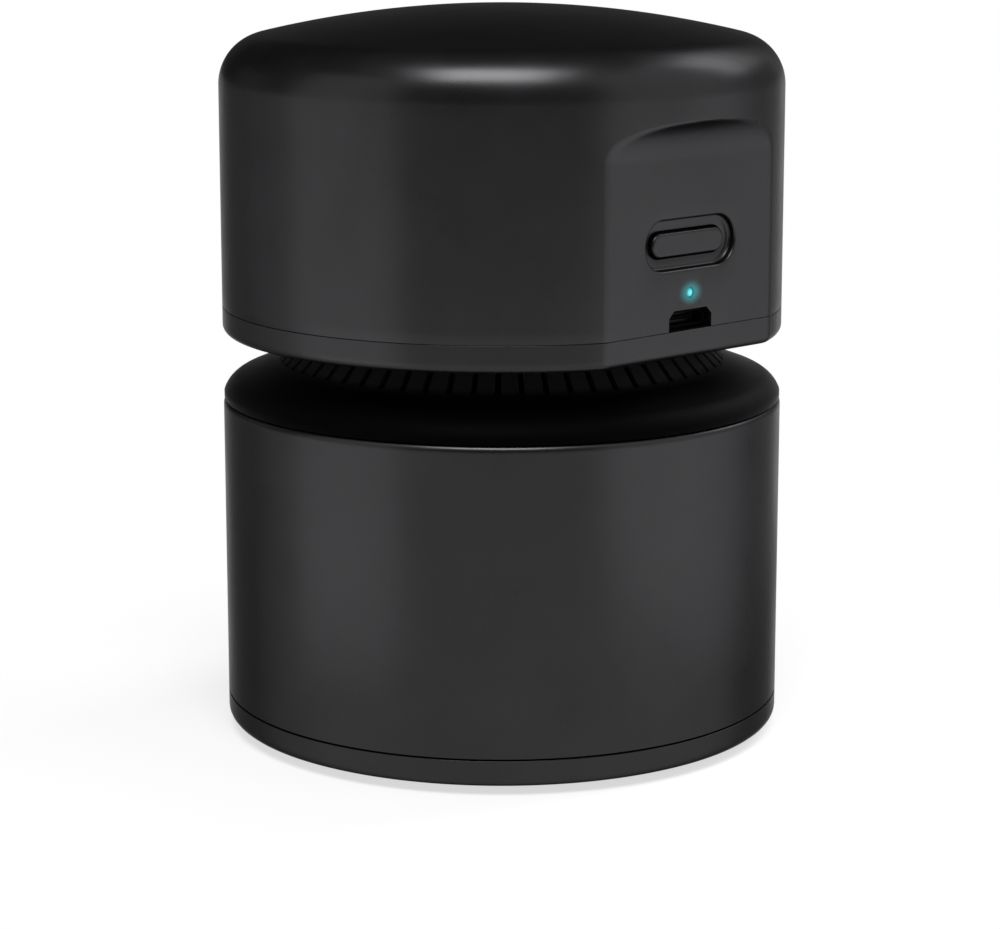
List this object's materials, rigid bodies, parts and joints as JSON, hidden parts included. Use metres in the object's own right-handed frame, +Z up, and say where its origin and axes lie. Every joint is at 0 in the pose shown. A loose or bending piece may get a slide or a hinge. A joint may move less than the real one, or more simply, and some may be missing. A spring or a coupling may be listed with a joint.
{
  "type": "desktop mini vacuum cleaner",
  "caption": "Round cordless desktop vacuum with a domed power head, slotted exhaust neck, lift-off dust cup, filter, fan motor, push button and charging socket.",
  "frame": {"origin": "on the surface that the cleaner stands on, under its axis, at the underside of its feet", "axes": "+Z up along the cleaner's axis; -Y is the side of the flat control panel with the button, lamp and charging socket"},
  "size_m": [0.082, 0.082, 0.1062],
  "materials": {
    "shell_black": "satin moulded",
    "neck_black": "smooth satin",
    "inner_black": "matt moulded",
    "button_black": "fine satin",
    "rubber_black": "matt",
    "bristle_black": "nylon bristle",
    "lamp_cyan": "clear, lit from behind",
    "plated_black": "black plated",
    "steel": "bright pressed",
    "screw_steel": "dark plated",
    "brass": "plain",
    "magnet_grey": "sintered",
    "board_green": "lacquered board",
    "component_black": "moulded",
    "nylon_white": "natural nylon",
    "cell_silver": "foil pouch",
    "filter_white": "pleated non-woven",
    "lead_red": "insulation",
    "lead_black": "insulation"
  },
  "bodies": {
    "cup_assembly": {"base_cover": "shell_black", "base_screw_1": "screw_steel", "base_screw_2": "screw_steel", "base_screw_3": "screw_steel", "foot_1": "rubber_black", "foot_2": "rubber_black", "foot_3": "rubber_black", "foot_4": "rubber_black", "brush_ring": "bristle_black", "dust_cup": "shell_black", "cup_floor": "shell_black", "intake_tube": "shell_black"},
    "power_head": {"vent_shroud": "neck_black", "seal_ring": "rubber_black", "inlet_plate": "inner_black", "pillar_screw_1": "screw_steel", "pillar_screw_2": "screw_steel", "pillar_screw_3": "screw_steel", "head_base": "shell_black", "head_screw_1": "screw_steel", "head_screw_2": "screw_steel", "head_screw_3": "screw_steel", "motor_screw_1": "screw_steel", "motor_screw_2": "screw_steel", "head_shell": "shell_black", "control_board": "board_green", "board_screw_1": "screw_steel", "board_screw_2": "screw_steel", "switch_body": "component_black", "status_led": "nylon_white", "charge_chip": "component_black", "battery_connector": "nylon_white", "light_pipe": "lamp_cyan", "socket_shell": "plated_black", "socket_tongue": "component_black", "motor_can": "steel", "motor_end_cap": "nylon_white", "motor_bush_lower": "brass", "motor_bush_upper": "brass", "magnet_front": "magnet_grey", "magnet_rear": "magnet_grey", "motor_terminal_left": "brass", "motor_terminal_right": "brass", "battery_cell": "cell_silver", "battery_tray": "inner_black", "motor_lead_black": "lead_black", "motor_lead_red": "lead_red", "cell_lead_black": "lead_black", "cell_lead_red": "lead_red"},
    "rotor": {"motor_shaft": "steel", "armature_core": "steel", "commutator": "brass", "impeller": "inner_black"},
    "button": {"power_button": "button_black", "switch_plunger": "component_black"},
    "filter_cartridge": {"filter_ring": "inner_black", "filter_medium": "filter_white", "filter_cap": "inner_black"}
  },
  "joints": [
    {"name": "lift_off", "type": "slide", "parent": "cup_assembly", "child": "power_head", "axis": [0, 0, 1], "range_m": [0, 0.05]},
    {"name": "fan_spin", "type": "hinge", "parent": "power_head", "child": "rotor", "pos_m": [0, 0, 0.06], "axis": [0, 0, 1], "continuous": true},
    {"name": "button_press", "type": "slide", "parent": "power_head", "child": "button", "axis": [0, 1, 0], "range_m": [0, 0.0008], "stiffness_N_per_m": 800},
    {"name": "filter_pull", "type": "slide", "parent": "power_head", "child": "filter_cartridge", "axis": [0, 0, -1], "range_m": [0, 0.005]}
  ]
}
